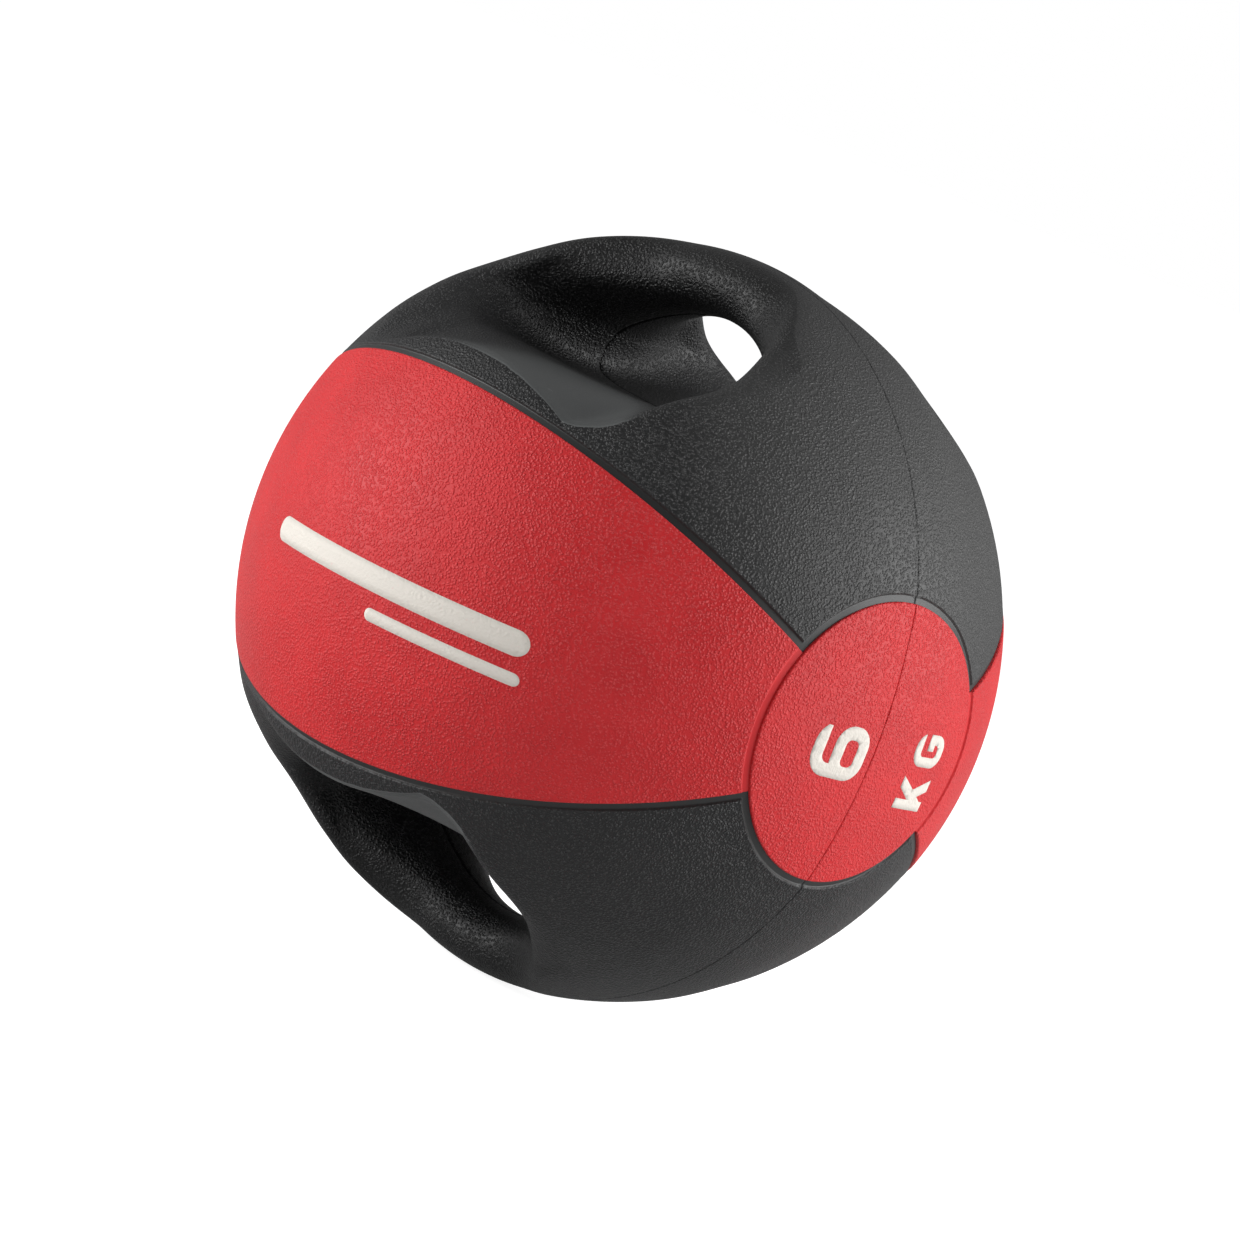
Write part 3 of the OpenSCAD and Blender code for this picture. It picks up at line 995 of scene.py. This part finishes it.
def make_inner(name, colour, light, roughness):
    material, shader = new_material(name, roughness, colour, 0.4)
    place = object_place(material)
    cloud = ramp(material, noise(material, place, INNER_CLOUD, 4.0), 0.35, 0.7, 0.0, 1.0)
    join(material, mix_colour(material, cloud, colour, light), shader.inputs["Base Color"])
    bump = node(material, "ShaderNodeBump", Strength=0.3, Distance=GRAIN_H)
    join(material, noise(material, place, INNER_PORE, 3.0), bump.inputs["Height"])
    join(material, bump.outputs["Normal"], shader.inputs["Normal"])
    return material


def make_floor_material():
    material, shader = new_material("pale floor", 0.9, FLOOR_COLOUR, 0.1)
    place = object_place(material)
    cloud = ramp(material, noise(material, place, 0.4, 2.0), 0.3, 0.7, 0.0, 1.0)
    join(material, mix_colour(material, cloud, FLOOR_COLOUR, FLOOR_LIGHT), shader.inputs["Base Color"])
    shader.inputs["Emission Color"].default_value = (1.0, 1.0, 1.0, 1.0)
    seen = node(material, "ShaderNodeLightPath").outputs["Is Camera Ray"]
    glow = ramp(material, seen, 0.0, 1.0, FLOOR_GLOW, FLOOR_SEEN_GLOW)
    join(material, glow, shader.inputs["Emission Strength"])
    return material


def cut_finely(mesh, step):
    """Cuts a mesh along the planes of a grid, so that its faces are small."""
    bm = bmesh.new()
    bm.from_mesh(mesh)
    for axis in range(3):
        normal = Vector([float(axis == k) for k in range(3)])
        for place in np.arange(-BALL_R + step / 2.0, BALL_R, step):
            everything = bm.verts[:] + bm.edges[:] + bm.faces[:]
            bmesh.ops.bisect_plane(
                bm, geom=everything, plane_co=normal * place, plane_no=normal, dist=MERGE)
    bm.to_mesh(mesh)
    bm.free()


def keep_under_skin(mesh):
    """Moves a mesh's points inwards until they are clear of the skins' inner side."""
    points = np.empty(len(mesh.vertices) * 3)
    mesh.vertices.foreach_get("co", points)
    points = points.reshape(-1, 3) / BALL_R
    depth = (SKIN_T + CORE_CLEARANCE) / BALL_R
    for _ in range(CORE_TRIES):
        over = np.maximum(skin_field(points) + depth, 0.0)
        slope = field_slope(points)
        size = np.maximum(np.sum(slope * slope, -1), CORE_SLOPE)
        points = points - slope * (over / size)[:, None]
    mesh.vertices.foreach_set("co", (points * BALL_R).reshape(-1))
    mesh.update()


def make_cores(carcass):
    """The rubber under the skins, fitted under the softer rim, which clears both kinds of mouth."""
    SHAPE["soft_side"] = 1.0
    for node in ("carcass_front", "carcass_rear", "top_bar_core", "bottom_bar_core"):
        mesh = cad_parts[node].data.copy()
        cut_finely(mesh, CORE_GRID)
        keep_under_skin(mesh)
        add_piece(node + "_rubber", mesh, carcass, "carcass_rubber", node)


def paint_kept_nodes():
    """The bladder and its valve keep their CAD shape."""
    bladder = make_inner("bladder rubber", BLADDER_COLOUR, BLADDER_LIGHT, 0.5)
    kept = {
        "bladder": bladder,
        "valve_plug": bladder,
        "valve_housing": BLACK,
    }
    for name, material in kept.items():
        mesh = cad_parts[name].data
        mesh.materials.clear()
        mesh.materials.append(material)


# ---- stage, light and camera ----------------------------------------------------------------------

def make_floor():
    bm = bmesh.new()
    bmesh.ops.create_grid(bm, x_segments=1, y_segments=1, size=FLOOR_HALF)
    mesh = bpy.data.meshes.new("floor")
    bm.to_mesh(mesh)
    bm.free()
    floor = bpy.data.objects.new("floor", mesh)
    floor.location = (0.0, 0.0, LOW.z)
    bpy.context.scene.collection.objects.link(floor)
    mesh.materials.append(make_floor_material())


def area_light(name, way, distance, size, power):
    """A soft square light at a distance along way from the ball, facing it."""
    light = bpy.data.lights.new(name, "AREA")
    light.size = size
    light.energy = power
    lamp = bpy.data.objects.new(name, light)
    place = Vector(way).normalized() * distance
    lamp.location = place
    lamp.rotation_euler = place.to_track_quat("Z", "Y").to_euler()
    bpy.context.scene.collection.objects.link(lamp)


def make_world():
    world = bpy.data.worlds.new("studio")
    world.use_nodes = True
    tree = world.node_tree
    back = tree.nodes["Background"]
    back.inputs["Color"].default_value = (1.0, 1.0, 1.0, 1.0)
    path = tree.nodes.new("ShaderNodeLightPath")
    pick = tree.nodes.new("ShaderNodeMapRange")
    tree.links.new(path.outputs["Is Camera Ray"], pick.inputs["Value"])
    pick.inputs["To Min"].default_value = WORLD_LIGHT
    pick.inputs["To Max"].default_value = WORLD_SEEN
    tree.links.new(pick.outputs["Result"], back.inputs["Strength"])
    bpy.context.scene.world = world


def make_camera():
    data = bpy.data.cameras.new("camera")
    data.lens = CAMERA_LENS
    data.sensor_width = CAMERA_SENSOR
    data.shift_x, data.shift_y = CAMERA_SHIFT
    data.clip_end = CAMERA_CLIP
    camera = bpy.data.objects.new("camera", data)
    away = Vector(CAMERA_WAY).normalized()
    up = Vector(CAMERA_UP)
    right = up.cross(away).normalized()
    up = away.cross(right)
    turn = Matrix((right, up, away)).transposed()
    camera.matrix_world = Matrix.Translation(away * CAMERA_FAR * BALL_R) @ turn.to_4x4()
    bpy.context.scene.collection.objects.link(camera)
    bpy.context.scene.camera = camera


def light_up():
    """A big soft key from the front left, a fill from the rear right and a faint light from above."""
    area_light("key", KEY_WAY, KEY_FAR, KEY_SIZE, KEY_POWER)
    area_light("fill", FILL_WAY, FILL_FAR, FILL_SIZE, FILL_POWER)
    area_light("top", TOP_WAY, TOP_FAR, TOP_SIZE, TOP_POWER)


RED = make_red()
BLACK = make_black()
INK = make_ink()
make_covers(FRONT_COVERS, 1.0)
make_covers(REAR_COVERS, 0.0)
make_panels()
make_discs()
make_marks()
make_cores(make_inner("carcass rubber", CARCASS_COLOUR, CARCASS_LIGHT, 0.75))
paint_kept_nodes()
make_floor()
make_world()
make_camera()
light_up()
bpy.context.scene.view_settings.view_transform = "Standard"
